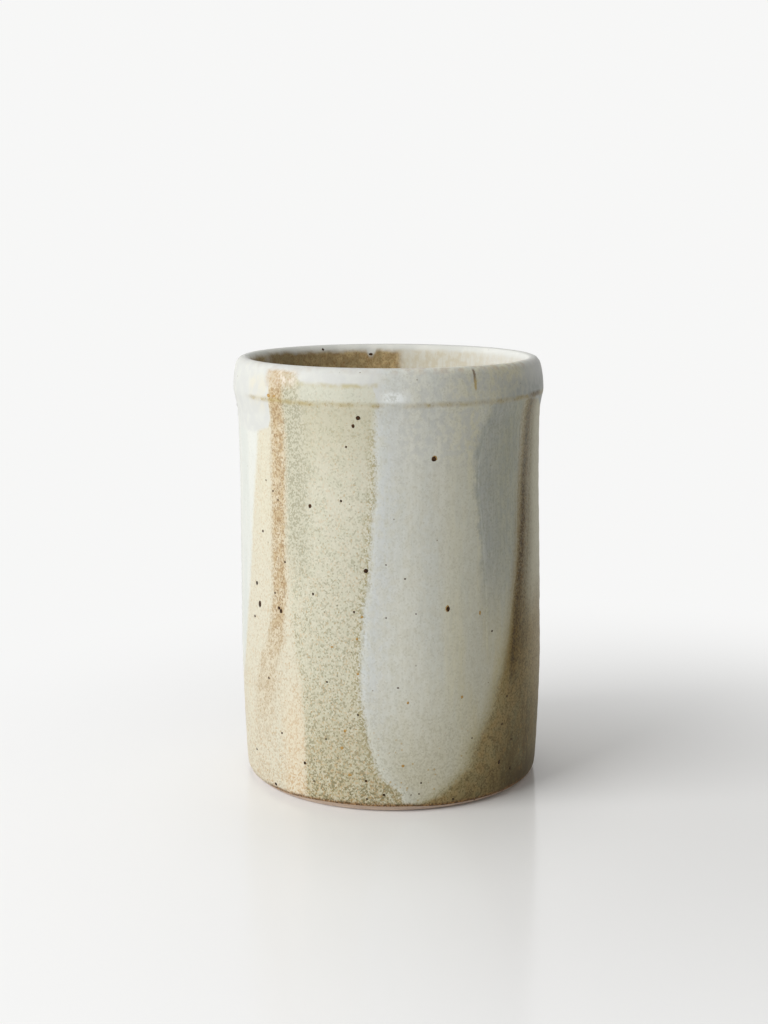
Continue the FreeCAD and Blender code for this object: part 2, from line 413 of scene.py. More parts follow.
# %% [markdown]
# ## Made by hand
# A thrown pot is never a perfect turning. This one leans a little to the left above the belly, its rim is
# about a millimetre lower at the front, and it carries faint spiral throwing rings. These are small moves
# of the vertices after the spin. Clay and glazes take the same moves, so they stay together.

# %% Lean, tilt and throwing rings
LEAN = -1.5
LEAN_FROM, LEAN_TO = 50.0, 178.0
RIM_DROP = 0.5  # the rim's tilt: level at the back, twice this lower at the front
RIM_REACH = 62.0
RIM_FROM, RIM_TO = 110.0, 165.0
RING_DEPTH = 0.04
RING_PITCH = 7.5
RINGS_START, RINGS_END = (6, 20), (156, 148)  # heights between which the rings rise and fade
OUTER_RADIUS = 61.5  # only the outside of the wall reaches past this radius


def soft_step(low, high, x):
    """A wire's smooth step, for a plain number."""
    w = min(1.0, max(0.0, (x - low) / (high - low)))
    return w * w * (3 - 2 * w)


def shape_by_hand(shape):
    """Leans and tilts a turned mesh, and adds throwing rings where it is outside the wall."""
    for v in shape.verts:
        x, y, z = (c / MM for c in v.co)
        radius = math.hypot(x, y)
        if radius > OUTER_RADIUS:
            turn = math.atan2(x, -y) / FULL_TURN
            ring = RING_DEPTH * math.sin(FULL_TURN * (z / RING_PITCH + turn))
            ring *= soft_step(*RINGS_START, z) * soft_step(*RINGS_END, z)
            x, y = x * (1 + ring / radius), y * (1 + ring / radius)
        lean = LEAN * min(1.0, max(0.0, (z - LEAN_FROM) / (LEAN_TO - LEAN_FROM)))
        tilt = RIM_DROP * (y / RIM_REACH - 1) * soft_step(RIM_FROM, RIM_TO, z)
        v.co = Vector((x + lean, y, z + tilt)) * MM


print("lean", LEAN, "mm, rim lower at the front by", 2 * RIM_DROP, "mm")

# %% [markdown]
# ## The clay pot
# All that shows of the clay is the bevelled foot below the glaze line and the slightly hollow underside,
# but the whole pot is made, because the mesh is a result in its own right. One open outline runs from the
# middle of the underside, up the outside, over the lip and down inside to the middle of the floor.

# %% Turn the clay
clay_run = inset(smooth_run(OUTSIDE, CLAY_STEP)[:-1] + inside_back, COAT)
clay_shape = spun(FOOT + clay_run[:-1] + [(0, clay_run[-1][1])], closed=False)
shape_by_hand(clay_shape)
clay_pot = finished("clay_pot", clay_shape, "stoneware_clay", "clay_body")

# %% [markdown]
# ## Ground coat, rim dip and liner
# A glaze coat is a thin skin of glass. Three skins cover the pot: the ground coat from the glaze line to
# the neck, the dip over the rim, and the liner inside. Each is a closed shell with a side towards the clay,
# so that it has its real thickness, and each meets the next edge to edge.

# %% Turn the three skins
SKIN = COAT - 0.03


def skin(name, face, back, slot, node):
    """A closed shell of glaze between its face and its back."""
    shape = spun(face + inset(back, SKIN)[::-1], closed=True)
    shape_by_hand(shape)
    return finished(name, shape, slot, node)


ground_face, ground_back = ([p for p in run if p[1] <= NECK] for run in (outside, outside_back))
rim_face, rim_back = ([p for p in run if p[1] >= NECK] for run in (outside, outside_back))
ground_coat = skin("ground_coat", ground_face, ground_back, "ash_glaze", "ground_glaze")
rim_coat = skin("rim_coat", rim_face, rim_back, "pale_glaze", "rim_glaze")
liner_coat = skin("liner_coat", inside, inside_back, "liner_glaze", "liner_glaze")

# %% [markdown]
# ## Borders of the pours
# Glaze was poured down the wall from the neck in tongues. Their borders on the photographed side were read
# off the photograph as heights in millimetres and directions in degrees, 0 at the front and positive to the
# right. The far side does not show, so its borders are a guess.

# %% Borders of the pours
POUR_LEFT = [
    (0, 6), (5, 3.6), (10, 1.5), (13, -2.2), (15, -4), (24, -6.9), (31, -8.7), (41, -10.2), (50, -11.3),
    (59, -11.1), (71, -10.3), (85, -9.6), (91, -8.1), (107, -6.9), (119, -6.3), (127, -5.1), (158, -4.7),
    (178, -4),
]
POUR_RIGHT = [
    (0, 8), (4, 12), (6, 17), (8.5, 20), (11, 23), (14, 26), (16, 28.5), (24, 31), (30, 34), (39, 38.5),
    (49, 41.5), (54, 44), (60, 46), (66, 48), (74, 49.4), (82, 51), (90, 53), (102, 54.5), (123, 55),
    (150, 56), (178, 58),
]
OVERLAP_LEFT = [
    (0, 35), (69, 35), (85, 35), (101, 34.2), (108, 33.8), (116, 33.1), (128, 31.9), (140, 31.8), (152, 35),
    (160, 39.8), (178, 43),
]
STRIP_EDGE = [
    (0, -92), (40, -80), (55, -73), (69, -69.5), (96, -64), (121, -61), (138, -58), (153, -56), (178, -53),
]
BROWN_MIDDLE = [
    (0, 48), (40, 49), (49, 49.6), (57, 50.2), (65, 51.4), (73, 53), (81, 53.9), (89, 55.1), (97, 56.3),
    (105, 57.3), (117, 58.7), (130, 59.6), (142, 60.9), (154, 62.1), (163, 62.8), (178, 63.5),
]
# Guessed borders on the far side.
RIGHT_NEAR = [(z, azimuth + 4) for z, azimuth in BROWN_MIDDLE]
RIGHT_FAR = [(0, 90), (60, 96), (75, 108), (100, 114), (178, 118)]
BACK_LEFT = [(0, 172), (14, 170), (24, 162), (60, 159), (178, 156)]
BACK_RIGHT = [(0, 176), (14, 180), (24, 196), (60, 202), (178, 205)]
LEFT_FAR = [(0, -116), (40, -110), (70, -116), (178, -120)]


def between(points, height):
    """The border's direction at a height."""
    for (z0, a0), (z1, a1) in zip(points, points[1:]):
        if height <= z1:
            return a0 + (a1 - a0) * (height - z0) / (z1 - z0)
    return points[-1][1]


for height in (20, 80, 140):
    reach = [round(between(border, height), 1) for border in (POUR_LEFT, POUR_RIGHT)]
    print("front pour at", height, "mm: from", reach[0], "to", reach[1], "degrees")

# %% [markdown]
# ## The pours
# Each pour is a strip of the ground coat's outline, spun through a part turn; then every row of it is
# squeezed between its two borders. It stands about a fifth of a millimetre proud, rounds off towards its
# borders, and sinks just below the ground coat there, so its rim is never seen. Solidify gives it a back.

# %% Lay the pours
POUR_ARC = 1.0  # radians that the strip is spun through before it is squeezed
POUR_COLUMNS = 60
POUR_TOP = 158
POUR_EDGE = 2.2
POUR_SINK = 0.05
POUR_BACK = 0.2
POUR_LIFT, OVERLAP_LIFT = 0.2, 0.3


def pour(name, slot, node, left, right, tip, lift=POUR_LIFT):
    """A pour between two borders, from the collar down to its tip."""
    strip = [p for p in outside if tip <= p[1] <= POUR_TOP]
    shape = spun(strip, closed=False, angle=POUR_ARC, steps=POUR_COLUMNS)
    for v in shape.verts:
        x, y, z = (c / MM for c in v.co)
        radius, across = math.hypot(x, y), math.atan2(y, x) / POUR_ARC
        start, end = (math.radians(between(border, z)) for border in (left, right))
        azimuth = start + across * (end - start)
        from_rim = min(radius * min(azimuth - start, end - azimuth), z - tip, (POUR_TOP - z) / 2)
        radius += lift * soft_step(0, POUR_EDGE, from_rim) - POUR_SINK
        v.co = Vector((radius * math.sin(azimuth), -radius * math.cos(azimuth), z)) * MM
    bmesh.ops.recalc_face_normals(shape, faces=shape.faces)
    first = shape.faces[:1][0]
    if first.normal.xy.dot(first.calc_center_median().xy) < 0:
        bmesh.ops.reverse_faces(shape, faces=shape.faces)
    bmesh.ops.solidify(shape, geom=shape.faces[:], thickness=POUR_BACK * MM)
    shape_by_hand(shape)
    print(name, "encloses", round(shape.calc_volume(signed=True) / MM**3), "cubic mm")
    return finished(name, shape, slot, node)


front_pour = pour("front_pour", "pale_glaze", "front_pour_glaze", POUR_LEFT, POUR_RIGHT, tip=4.0)
front_overlap = pour(
    "front_overlap", "blue_grey_glaze", "front_overlap_glaze",
    OVERLAP_LEFT, POUR_RIGHT, tip=62, lift=OVERLAP_LIFT,
)
left_pour = pour("left_pour", "pale_glaze", "left_pour_glaze", LEFT_FAR, STRIP_EDGE, tip=44)
right_pour = pour("right_pour", "pale_glaze", "right_pour_glaze", RIGHT_NEAR, RIGHT_FAR, tip=74)
back_pour = pour("back_pour", "pale_glaze", "back_pour_glaze", BACK_LEFT, BACK_RIGHT, tip=13)
glazed = [ground_coat, rim_coat, liner_coat, front_pour, front_overlap, left_pour, right_pour, back_pour]

# %% [markdown]
# ## Where a point lies on the crock
# Every pattern asks the same questions: how high is this point, and in which direction from the axis?
# Object coordinates give both, once lean and tilt are taken off. Degrees and millimetres keep the numbers
# readable. Noise is stretched upright for what flows down the wall, and nearly even for grains and specks.

# %% Coordinates and noise
DEGREES = 180 / math.pi
CURVE_TOP = 180.0  # a border's curve runs from the table to this height in mm
CURVE_LOW, CURVE_HIGH = -180.0, 270.0  # and between these directions in degrees


class Wall:
    """Height, azimuth and noise on the crock's surface, as wires of one material."""

    def __init__(self, start):
        self.start = start
        place = start.node("ShaderNodeTexCoord", out="Object")
        self.place = start.node("ShaderNodeVectorMath", {"operation": "SCALE"}, {0: place, "Scale": 1 / MM})
        x = start.node("ShaderNodeSeparateXYZ", sockets={0: self.place})
        y, z = x.other(1), x.other(2)
        self.y = y
        self.z = z + (1.0 - y / RIM_REACH) * RIM_DROP * z.step(RIM_FROM, RIM_TO)
        risen = (self.z - LEAN_FROM) / (LEAN_TO - LEAN_FROM)
        self.x = x - start.math("MINIMUM", start.math("MAXIMUM", risen, 0.0), 1.0) * LEAN
        self.azimuth = start.math("ARCTAN2", self.x, y * -1.0) * DEGREES
        self.round = start.math("ARCTAN2", self.x * -1.0, y) * DEGREES + 180.0
        self.radius = start.math("SQRT", self.x * self.x + y * y)
        self.flow = self.vector("MULTIPLY", self.place, (1, 1, 0.12))
        self.tall = self.vector("MULTIPLY", self.place, (1, 1, 0.8))

    def vector(self, operation, place, by):
        return self.start.node("ShaderNodeVectorMath", {"operation": operation}, {0: place, 1: by})

    def noise(self, size, detail=2.0, flowing=False, seed=0):
        """Noise from 0 to 1 with features about size mm across."""
        place = self.vector("ADD", self.flow if flowing else self.tall, (seed, seed, seed))
        settings = {"Vector": place, "Scale": 1.0 / size, "Detail": detail, "Roughness": 0.55}
        return self.start.node("ShaderNodeTexNoise", sockets=settings, out="Fac")

    def border(self, points):
        """The azimuth of a border at this height."""
        scaled = [(z / CURVE_TOP, (a - CURVE_LOW) / (CURVE_HIGH - CURVE_LOW)) for z, a in points]
        curve = self.start.node("ShaderNodeFloatCurve", {"points": scaled}, {"Value": self.z / CURVE_TOP})
        return curve * (CURVE_HIGH - CURVE_LOW) + CURVE_LOW

    def cells(self, place, size, seed, out):
        """Voronoi cells about size mm across."""
        settings = {"Vector": self.vector("ADD", place, (seed, seed, seed)), "Scale": 1 / size}
        return self.start.node("ShaderNodeTexVoronoi", sockets=settings, out=out)

    def grains(self, size, seed):
        """Two random numbers, 0 to 1, for each grain of about size mm."""
        colour = self.cells(self.tall, size, seed, "Color")
        shade = self.start.node("ShaderNodeSeparateColor", sockets={0: colour})
        return shade, shade.other(1)

    def specks(self, spacing, size, share, seed=0):
        """Round specks of up to size mm, on a share of the cells of a loose grid."""
        distance = self.cells(self.place, spacing, seed, "Distance")
        chance = self.start.node("ShaderNodeSeparateColor", sockets={0: distance.other("Color")})
        chosen = chance.step(1 - share, 1 - share * 0.4)
        return (distance * spacing - chosen * size).step(0.12, -0.12) * chosen.step(0.05, 0.3)


print("borders run from", CURVE_LOW, "to", CURVE_HIGH, "degrees")

# %% [markdown]
# ## The clay's finish
# Fired stoneware is dry and pinkish beige, with dark grains of iron. Turning tools leave fine rings under
# the foot. A red-brown line stands where the glaze stops.

# %% Clay material
TOOL_PITCH = 1.4

clay_material, start, shader = new_material("bare_stoneware")
wall = Wall(start)
grain = wall.noise(0.7, 3.0)
cloud = wall.noise(9.0, 2.0)
flash = wall.z.step(1.4, GLAZE_LINE) * wall.radius.step(57, 59)
flash = flash * wall.noise(2.0, 2.0, seed=7).step(0.35, 0.6)
clay_colour = layered(
    cloud.step(0.35, 0.65).paint(srgb(194, 174, 158), srgb(206, 186, 168)),
    (grain.step(0.54, 0.7) * 0.4, srgb(150, 122, 102)),
    (wall.specks(2.4, 0.45, 0.3), srgb(90, 60, 44)),
    (flash * 0.7, srgb(128, 82, 52)),
)
rings = start.math("SINE", wall.radius * (FULL_TURN / TOOL_PITCH) + cloud * 3.0)
relief = {"Height": grain + rings * 0.25, "Strength": 0.4, "Distance": 0.25 * MM}
clay_colour.into(shader.inputs["Base Color"])
start.node("ShaderNodeBump", sockets=relief, out="Normal").into(shader.inputs["Normal"])
shader.inputs["Roughness"].default_value = 0.85
clay_pot.data.materials.append(clay_material)
print("clay:", len(start.tree.nodes), "nodes")

# %% [markdown]
# ## The glaze: ground coat
# All glaze coats melt into one another, so one material, made of the place on the wall, paints them all and
# no seam shows. It starts with the ground, an ash glaze: cream where it is thick, olive where it is thin,
# made of dark, light and ochre grains that crowd together towards the foot. Each later cell lays one run
# over it. In the lists of layers a mask is multiplied by how strongly it covers, and the limits of a step
# are degrees round the crock or millimetres above the table.

# %% Noises that all coats share
GRAIN = 0.56

glaze_material, start, shader = new_material("poured_glazes")
wall = Wall(start)
azimuth, z = wall.azimuth, wall.z
wander = (wall.noise(7.0, 3.0, flowing=True) - 0.5) * 4.5
fray = (wall.noise(1.0, 2.0) - 0.5) * 3.2
edge_noise = wander + fray
fine = wall.noise(0.75, 2.0)
shade, tint = wall.grains(GRAIN, 3.0)
clump = wall.noise(4.5, 3.0, seed=61)
blotch = wall.noise(2.6, 3.0, seed=83)
cloud = wall.noise(14.0, 3.0, flowing=True, seed=5)
streaks = wall.noise(1.1, 3.0, flowing=True, seed=17)
veil = wall.noise(9.0, 3.0, flowing=True, seed=71)


def so_far(layer):
    print(layer, "added,", len(glaze_material.node_tree.nodes), "nodes so far")


so_far("shared noise")

# %% Ground coat
OLIVE_EDGE = [
    (0, -34), (21, -33.8), (48, -34.4), (68, -37.2), (85, -39), (100, -36), (115, -33), (156, -32),
    (178, -31),
]

towards_foot = z.step(150, 4)
at_foot = z.step(62, 2)
foot_edge = z.step(26, 3)
past_olive = azimuth - wall.border(OLIVE_EDGE) + edge_noise
olive = past_olive.step(-1.6, 1.6) * azimuth.step(172, 140)
light_grain = (1.0 - shade).below(0.16 + 0.1 * towards_foot)
dark_share = (0.13 + 0.18 * towards_foot + 0.1 * foot_edge + (clump - 0.5) * 0.5) * (0.55 + 0.45 * olive)
dark_strength = 0.36 + 0.14 * towards_foot + 0.06 * at_foot + 0.25 * foot_edge * olive
dark_tint = olive.paint(srgb(168, 145, 110), srgb(118, 110, 76))
ochre_share = 0.04 + 0.05 * towards_foot + 0.06 * at_foot + 0.06 * foot_edge
dark_dots = wall.specks(2.4, 0.36, 0.4, seed=43) * olive * towards_foot.step(0.0, 0.5)
ground = layered(
    olive.paint(srgb(204, 199, 180), srgb(202, 199, 181)),
    (towards_foot * 0.6 * olive, srgb(186, 182, 156)),
    (at_foot * 0.6 * olive, srgb(174, 163, 127)),
    (clump.step(0.42, 0.62) * 0.35 * olive, srgb(190, 191, 170)),
    (cloud.step(0.5, 0.75) * 0.4, srgb(208, 202, 178)),
    (shade.below(dark_share) * dark_strength, dark_tint),
    (light_grain * 0.28, srgb(222, 218, 203)),
    (tint.below(ochre_share) * 0.5, srgb(188, 150, 96)),
    (dark_dots * 0.65, srgb(92, 84, 54)),
)
so_far("ground coat")

# %% [markdown]
# ## Runs of colour on the left
# An iron-rich streak runs down the left of the front, rusty and grainy; low down it spreads and fades.
# Beside it the glaze is grey-green high up and pinkish low down.

# %% Left side
RUST_MIDDLE = [
    (0, -58), (20, -57), (38, -55), (47, -53.5), (57, -51.5), (66, -47.5), (74, -46.3), (87, -44.4),
    (100, -44.7), (156, -43.5), (178, -42),
]

rust_off = (azimuth - wall.border(RUST_MIDDLE) + wander * 0.3 + fray * 1.1).size()
spread = z.step(78, 40)
rust = (rust_off - (3.6 + 2.6 * spread)).step(1.6 + 2.5 * spread, -1.4 - 2.0 * spread)
rust_fade = 0.12 + 0.4 * z.step(14, 50) + 0.48 * z.step(50, 84)
streak = layered(
    clump.step(0.4, 0.62).paint(srgb(202, 190, 164), srgb(186, 167, 134)),
    (shade.below(0.36) * 0.6, srgb(146, 115, 74)),
    (light_grain * 0.14, srgb(226, 218, 200)),
    (tint.below(0.06) * 0.65, srgb(106, 70, 38)),
)
from_front = azimuth + edge_noise
grey_green = from_front.band(-42.0, -38.5, -35.0, -27.0) * z.step(84, 112)
green_grain = (shade.below(0.48) * 0.7).paint(srgb(188, 186, 166), srgb(134, 132, 108))
pink = from_front.step(-48, -38) * past_olive.step(1.6, -1.6) * z.step(66, 26)
pink_grain = layered(
    srgb(212, 202, 178),
    (shade.below(0.34) * (0.45 + 0.3 * foot_edge), srgb(190, 152, 106)),
    (light_grain * 0.25, srgb(226, 217, 200)),
)
ground = layered(
    ground,
    (rust * rust_fade, streak),
    (grey_green * 0.8, green_grain),
    (pink * 0.9, pink_grain),
)
so_far("left side")

# %% [markdown]
# ## Brown on the right
# Right of the front pour the glaze is thin over iron: a dark streak comes down from the collar and spreads,
# near the foot, into a mottled olive brown that turns greyer round the side. Behind it the next pale pour
# begins.

# %% Olive brown low on the right
past_pour = azimuth - wall.border(POUR_RIGHT) + wander * 0.4
runs = wall.noise(2.4, 3.0, flowing=True, seed=29)
gold = past_pour.step(20, 3) * z.step(76, 46)
gold_tint = clump.step(0.4, 0.6).paint(srgb(168, 145, 99), srgb(158, 145, 104))
grey_side = azimuth.step(53, 72) * z.step(22, 58)
deep = (azimuth + edge_noise * 2.0).step(39, 53) * azimuth.step(80, 62) * z.step(44, 12)
mottle = layered(
    clump.step(0.38, 0.62).paint(srgb(134, 118, 77), srgb(116, 108, 75)),
    (runs.step(0.42, 0.64) * 0.65, srgb(94, 81, 50)),
    (gold * 0.75, gold_tint),
    (blotch.step(0.5, 0.66) * 0.4, srgb(108, 93, 57)),
    (cloud.step(0.48, 0.68) * 0.35, srgb(150, 128, 84)),
    (grey_side * 0.8, srgb(170, 154, 118)),
    (azimuth.step(72, 92) * 0.7, srgb(158, 144, 108)),
    (shade.below(0.3) * 0.5, srgb(86, 70, 44)),
    ((1.0 - shade).below(0.2) * 0.35, srgb(166, 146, 102)),
    (deep * (0.62 - 0.5 * clump.step(0.46, 0.62)), srgb(90, 76, 47)),
    (deep * blotch.step(0.56, 0.68) * 0.5, srgb(150, 118, 66)),
)
side = azimuth.band(5, 12, 128, 150)
low_zone = side * (past_pour + (shade - 0.5) * 4.0).step(-3.5, 2.0) * (z + wander * 4.0).step(112, 66)
so_far("olive brown")

# %% Dark streak and the pour beyond it
past_brown = azimuth - wall.border(BROWN_MIDDLE) + wander * 0.4 + fray * 0.7
next_pour = (wall.border(RIGHT_FAR) - azimuth + edge_noise).step(-2, 2)
next_pour = next_pour * past_brown.step(0.8, 6.0) * (z + wander * 4.0).step(64, 104)
next_grain = (shade.below(0.16) * 0.35).paint(srgb(197, 193, 170), srgb(146, 134, 100))
ground = layered(ground, (low_zone, mottle), (side * next_pour, next_grain))

reach = 11.0 + 4.0 * z.step(130, 97)
brown = 0.8 * past_brown.step(reach, 0.5) + 0.17 * past_brown.step(3.5, 0.8)
brown = brown * past_brown.step(-8.0, -0.6) * (1.0 - 0.22 * z.step(112, 150))
brown = brown * (z + wander * 3.0).step(34, 64) * z.step(168, 164)
brown = brown * (0.96 + (0.5 - shade) * 0.2)
core = (past_brown + fray * 0.4).size().step(1.5, 0.2) * blotch.step(0.4, 0.6)
brown_grain = layered(
    srgb(101, 81, 33),
    (shade.below(0.45) * 0.7, srgb(59, 41, 10)),
    (past_brown.step(-0.5, -4.0) * 0.8, srgb(146, 124, 66)),
    (tint.below(0.1) * 0.5, srgb(144, 108, 46)),
    (core * 0.6, srgb(48, 34, 10)),
)
so_far("dark streak")

# %% [markdown]
# ## Colours of the pours
# The front pour is bluish along its left border, warmer towards the middle, faintly mottled and streaked,
# and it ends in a pale rolled edge round a speckled tip. A second pour overlaps it on the right in a darker
# blue grey. The pours on the far side follow the same manner; no picture shows them.

# %% Front pour
in_left = azimuth - wall.border(POUR_LEFT) + wander * 0.35 + fray * 0.6
in_right = wall.border(POUR_RIGHT) - azimuth + wander * 0.35 + fray * 0.8
front = (in_left + (shade - 0.5) * 1.2).step(-1.4, 1.4) * (in_right + (shade - 0.5) * 3.0).step(-3.2, 2.8)
front = front * (z + edge_noise * 0.5).step(2.6, 5.0)
low_pour = z.step(60, 6)
rolled = in_left.step(8.0, 1.5) * z.step(48, 14)
neck_blue = z.step(134, 148) * in_left.step(2, 8) * blotch.step(0.42, 0.62)
yellow = wall.specks(2.2, 0.45, 0.5, seed=51) * z.step(50, 16)
poured = layered(
    in_left.step(2, 15).paint(srgb(199, 202, 200), srgb(212, 212, 201)),
    (in_left.step(18, 38) * 0.85, srgb(209, 205, 178)),
    (in_left.step(30, 46) * z.step(120, 40) * 0.75, srgb(190, 180, 144)),
    (veil.step(0.42, 0.66) * 0.45, srgb(199, 203, 198)),
    (blotch.step(0.42, 0.62) * 0.3, srgb(198, 194, 174)),
    (streaks.step(0.35, 0.7) * 0.3, srgb(190, 190, 176)),
    (low_pour * 0.7, srgb(192, 186, 158)),
    (rolled * 0.55, srgb(204, 206, 196)),
    (shade.below(0.18 + 0.14 * low_pour) * (0.16 + 0.12 * low_pour), srgb(142, 134, 104)),
    ((1.0 - shade).below(0.18) * 0.2, srgb(222, 221, 212)),
    (neck_blue * 0.4, srgb(187, 191, 192)),
    (yellow * 0.6, srgb(176, 146, 86)),
    (in_right.step(7, -1) * z.step(112, 54) * 0.65, srgb(168, 157, 116)),
)
fringe = in_left.band(-4.2, -0.9, -0.6, 0.9) * z.step(160, 150)
glaze = layered(ground, (fringe * shade.below(0.5) * 0.6, srgb(156, 146, 108)), (front, poured))
so_far("front pour")

# %% Overlap
past_overlap = azimuth - wall.border(OVERLAP_LEFT) + edge_noise * 0.5 + (blotch - 0.5) * 3.0
overlap = past_overlap.step(-1.2 - 3.0 * z.step(112, 70) - 4.0 * z.step(136, 160), 1.4)
overlap = overlap * in_right.step(-1.8, 1.0) * z.band(58.0, 110.0, 162.5, 165.5)
blue_grey = layered(
    past_overlap.step(4, 14).paint(srgb(181, 183, 176), srgb(180, 180, 161)),
    (veil.step(0.4, 0.66) * 0.5, srgb(188, 188, 172)),
    (streaks.step(0.38, 0.66) * 0.7, srgb(165, 167, 155)),
    (blotch.step(0.46, 0.64) * 0.35, srgb(164, 169, 166)),
    (shade.below(0.25) * 0.3, srgb(138, 136, 114)),
)
glaze = layered(glaze, (overlap * 0.95, blue_grey), (brown, brown_grain))
so_far("overlap")

# %% Pours on the left and at the back
pale = layered(
    veil.step(0.4, 0.66).paint(srgb(204, 207, 201), srgb(212, 213, 206)),
    (streaks.step(0.4, 0.7) * 0.3, srgb(200, 202, 196)),
    (shade.below(0.08) * 0.2, srgb(168, 160, 134)),
)
strip = (wall.border(STRIP_EDGE) - azimuth + edge_noise * 0.6).step(-1.5, 1.5)
strip = strip * (azimuth - wall.border(LEFT_FAR) + edge_noise * 0.6).step(-1.5, 1.5) * z.step(36, 56)
back = (wall.round - wall.border(BACK_LEFT) + edge_noise * 0.6).step(-1.4, 1.4)
back = back * (wall.border(BACK_RIGHT) - wall.round + edge_noise * 0.6).step(-1.4, 1.4) * z.step(12, 18)
glaze = layered(glaze, (strip, pale), (back, pale))
so_far("other pours")

# %% [markdown]
# ## The dipped collar
# The lip was dipped in the pale glaze, which covers the collar. Over the front pour the two are one; over
# the olive ground the dip ends at a line above the ridge, and the rusty streak breaks right through it.
# Where the dip runs thin over an edge it turns olive along the ridge, and pinkish brown on the very lip.
# Below the ridge on the left the olive carries painted shade, and a few whitish patches on the collar are
# painted highlights.

# %% The dip and its border
# Lower border of the dip: azimuth in degrees, height in mm.
DIP_EDGE = [
    (-180, 158), (-110, 155), (-62, 150), (-52, 152), (-48.5, 153), (-47, 172), (-44, 176), (-34, 174.5),
    (-31, 171.6), (-5, 171.2), (-3.5, 164), (60, 163.5), (66, 163), (90, 157), (180, 158),
]
DIP_LOW, DIP_SPAN = 140.0, 40.0

dip_points = [((a + 180) / 360, (height - DIP_LOW) / DIP_SPAN) for a, height in DIP_EDGE]
dip_level = start.node("ShaderNodeFloatCurve", {"points": dip_points}, {"Value": (azimuth + 180.0) / 360.0})
dipped = (z - (dip_level * DIP_SPAN + DIP_LOW) + edge_noise * 0.35).step(-0.9, 0.9)
over_pour = in_left.step(-1, 4) * (in_right + 4.0).step(-6, 10)
deep_dip = (azimuth + edge_noise * 3.0).step(36, 52) * z.step(175, 167) * azimuth.step(92, 74)
dip = layered(
    clump.step(0.4, 0.64).paint(srgb(200, 201, 197), srgb(205, 206, 200)),
    (over_pour, poured),
    (deep_dip * (0.6 + 0.4 * blotch.step(0.4, 0.6)), srgb(169, 172, 166)),
)
glaze = dipped.paint(glaze, dip)
so_far("dip")

# %% Thin places of the dip, with painted shade and a painted highlight
veiled = azimuth.band(-34, -31, -5, -3) * z.step(163.6, 164.6) * (1.0 - dipped)
ochre_veil = azimuth.band(-61, -57, -50, -46) * z.band(157, 164, 171, 176)
# painted shade: the olive just below the ridge on the left is darkened
painted_neck_shade = olive * azimuth.step(-4, -8) * z.band(126.0, 160.0, 162.5, 164.0)
peach = (rust_off - 8.0).step(3, -3) * azimuth.step(-50, -47) * z.band(168, 172, 175, 177)
glaze = layered(
    glaze,
    (veiled * 0.5, srgb(194, 196, 183)),
    (ochre_veil * (0.1 + 0.3 * clump.step(0.4, 0.65)), srgb(212, 203, 178)),
    (painted_neck_shade * 0.4, srgb(180, 175, 148)),
    (peach * 0.7, srgb(193, 179, 155)),
    (peach * shade.below(0.3) * 0.4, srgb(170, 136, 96)),
    # painted highlight: whitish blotches on the peach patch near the lip
    (peach * azimuth.step(-44, -40) * blotch.step(0.44, 0.58) * 0.6, srgb(226, 220, 210)),
)
so_far("thin places")

# %% Lines and marks on the collar, and a painted highlight
ridge_height = 164.3 + (wall.noise(12.0, 2.0, seed=9) - 0.5) * 1.4
ridge_line = (z - ridge_height).size().step(1.7, 0.1)
ridge_line = ridge_line * (0.4 + 0.6 * wall.noise(5.0, 3.0, seed=21).step(0.4, 0.62))
ridge_line = ridge_line * (1.0 - 0.85 * azimuth.band(-4, -1, 4, 8))
ridge_line = ridge_line * azimuth.band(-66, -54, 110, 150)
ridge_mark = azimuth.band(58, 64, 69, 74) * (z - 164.8).size().step(1.7, 0.3)
upper_height = 171.6 + (wall.noise(10.0, 2.0, seed=13) - 0.5) * 1.6
upper_line = (z - upper_height).size().step(1.4, 0.1) * azimuth.band(-36.0, -31.0, -4.5, -3.0)
upper_line = upper_line * (0.25 + 0.75 * wall.noise(5.0, 2.0, seed=23).step(0.4, 0.62))
drip = (azimuth - 31.3 + fray * 0.3).size().step(0.8, 0.2) * z.band(168.6, 170.0, 176.6, 177.6)
drip_tint = z.step(172, 175).paint(srgb(178, 152, 84), srgb(96, 68, 40))
# painted highlight: a whitish patch on the front of the collar, just above the ridge
painted_ridge_highlight = azimuth.band(-4, 0, 3, 9) * z.band(164.6, 166.4, 168.0, 170.5)
lip_break = z.step(175.2, 177.4) * (wall.y * -1.0).step(8, 40)
lip_break = lip_break * wall.noise(4.0, 3.0, seed=27).step(0.42, 0.64)
glaze = layered(
    glaze,
    (ridge_line * (0.45 + 0.3 * shade), srgb(166, 147, 90)),
    (ridge_line * tint.below(0.12) * 0.6, srgb(120, 92, 48)),
    (ridge_mark * (0.45 + 0.4 * shade), srgb(92, 70, 38)),
    (upper_line * 0.65, srgb(178, 166, 120)),
    (drip * 0.75, drip_tint),
    (painted_ridge_highlight * (clump + 0.5 * fine).step(0.56, 0.82), srgb(226, 229, 227)),
    (lip_break * (0.2 + 0.25 * azimuth.step(-6, 10)), srgb(172, 150, 128)),
)
so_far("collar")

# %% [markdown]
# ## Inside the crock
# Only the top of the far wall shows: a pale band under the lip, then brown on the left and cream on the
# right, with a ragged border. The brown is darkened with painted shade towards the left, and the upper
# right of the wall carries painted light. Deeper down the liner stays olive brown and turns darker towards
# the bottom.

# %% Inside
LIP_MIDDLE = 58.8

